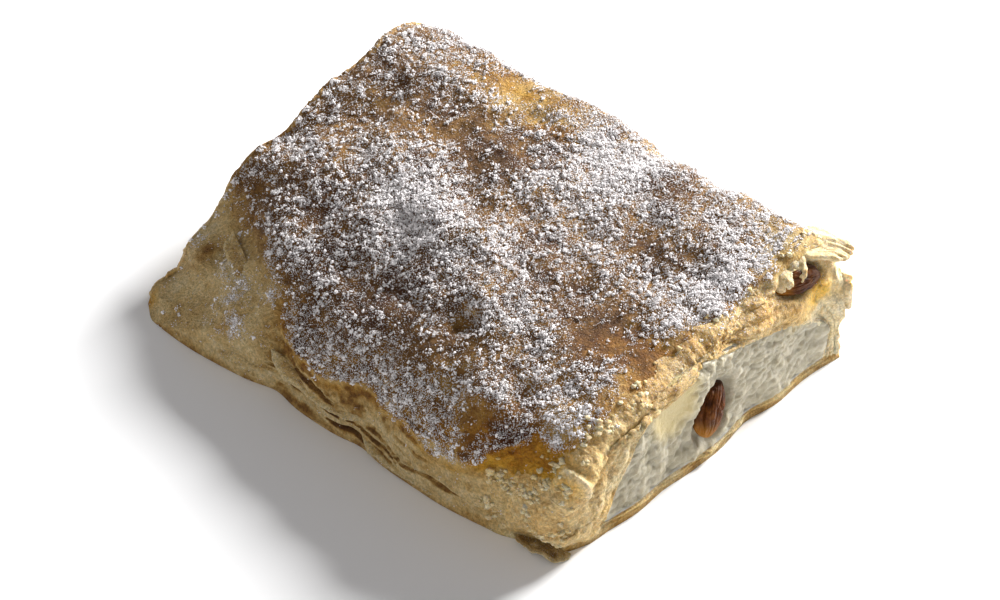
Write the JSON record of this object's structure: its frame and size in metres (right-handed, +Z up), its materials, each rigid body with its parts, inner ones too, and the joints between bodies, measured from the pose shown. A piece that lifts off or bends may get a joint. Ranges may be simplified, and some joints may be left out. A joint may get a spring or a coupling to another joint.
{
  "type": "cheese strudel",
  "caption": "A piece of baked curd strudel cut from a log: wrapped flaky pastry, a curd filling that shows at the cuts, and raisins at one cut.",
  "frame": {"origin": "middle of the piece's plan, on the surface that its foot lies on", "axes": "+X along the baked log, towards the torn cut with the raisins; -Y towards the long folded side; +Z up"},
  "size_m": [0.1182, 0.0907, 0.0336],
  "materials": {
    "baked_pastry": "baked flaky pastry, golden brown crust with powdered sugar, pale and moist where it is torn",
    "curd": "moist, finely lumpy curd cheese",
    "raisin_skin": "dark wrinkled skin with a soft sheen"
  },
  "bodies": {
    "root": {"pastry": "baked_pastry", "curd_filling": "curd", "raisin_lower": "raisin_skin", "raisin_upper": "raisin_skin"}
  },
  "joints": []
}
